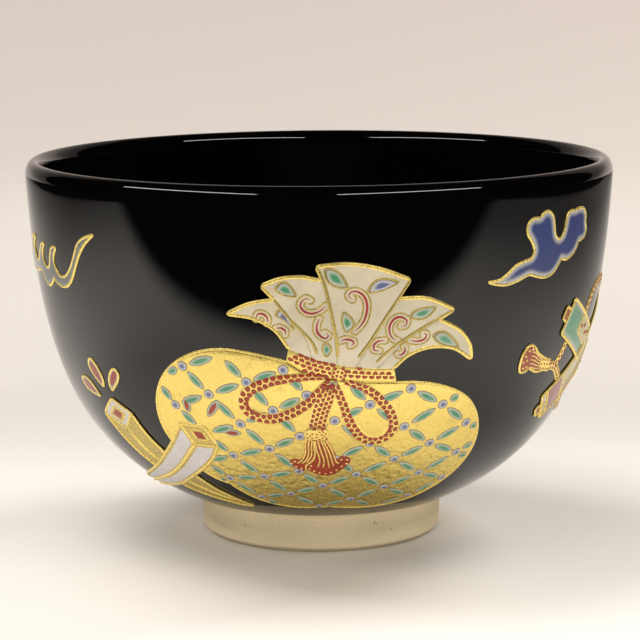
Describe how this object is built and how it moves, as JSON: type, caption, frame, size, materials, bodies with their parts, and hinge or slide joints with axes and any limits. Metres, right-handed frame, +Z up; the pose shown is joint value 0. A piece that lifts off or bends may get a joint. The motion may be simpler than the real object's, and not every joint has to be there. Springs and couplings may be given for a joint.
{
  "type": "tea bowl",
  "caption": "Round-bodied stoneware tea bowl with a foot ring, black glaze, and raised gold and coloured enamel ornament of a tied bag, tusks, scrolls and clouds.",
  "frame": {"origin": "centre of the foot ring's resting face", "axes": "+Z up along the bowl's axis of revolution, -Y towards the painted front with the tied bag, +X to the right of someone who looks at that front"},
  "size_m": [0.12, 0.12, 0.0776],
  "materials": {
    "bare_clay": "matt, unglazed",
    "black_glaze": "glossy",
    "gold_enamel": "raised, satin gold",
    "ivory_enamel": "raised, glossy",
    "red_enamel": "raised, glossy",
    "white_enamel": "raised, glossy",
    "pale_green_enamel": "raised, glossy",
    "blue_enamel": "raised, glossy",
    "green_enamel": "raised, glossy"
  },
  "bodies": {
    "root": {"clay_body": "bare_clay", "foot_ring": "bare_clay", "black_glaze": "black_glaze", "bag_gold_ground": "gold_enamel", "white_tusk_end": "gold_enamel", "gold_tusk_root": "gold_enamel", "gold_tusk_point": "gold_enamel", "scroll_rising": "gold_enamel", "scroll_tassel_cord": "gold_enamel", "scroll_swag_upper": "gold_enamel", "scroll_swag_lower": "gold_enamel", "mallet_head": "gold_enamel", "bag_pleat_middle": "ivory_enamel", "bag_pleat_left": "ivory_enamel", "bag_pleat_right": "ivory_enamel", "bag_pleat_outer_left": "ivory_enamel", "bag_pleat_outer_right": "ivory_enamel", "bag_neck_cord": "red_enamel", "bag_bow_left": "red_enamel", "bag_bow_right": "red_enamel", "bag_tassel": "red_enamel", "bag_cord_tail": "red_enamel", "red_drop_1": "red_enamel", "red_drop_2": "red_enamel", "red_drop_3": "red_enamel", "scroll_rising_near_knob": "red_enamel", "scroll_rising_far_knob": "red_enamel", "scroll_falling_near_knob": "red_enamel", "scroll_falling_far_knob": "red_enamel", "scroll_tassel": "red_enamel", "mallet_handle": "red_enamel", "jewel_right": "red_enamel", "white_tusk": "white_enamel", "gold_tusk_end": "white_enamel", "curled_cloud_left": "pale_green_enamel", "curled_cloud_back": "pale_green_enamel", "forked_cloud_right": "blue_enamel", "forked_cloud_back": "blue_enamel", "jewel_top": "blue_enamel", "scroll_falling_near_half": "green_enamel", "scroll_falling_far_half": "green_enamel", "jewel_left": "green_enamel"}
  },
  "joints": []
}
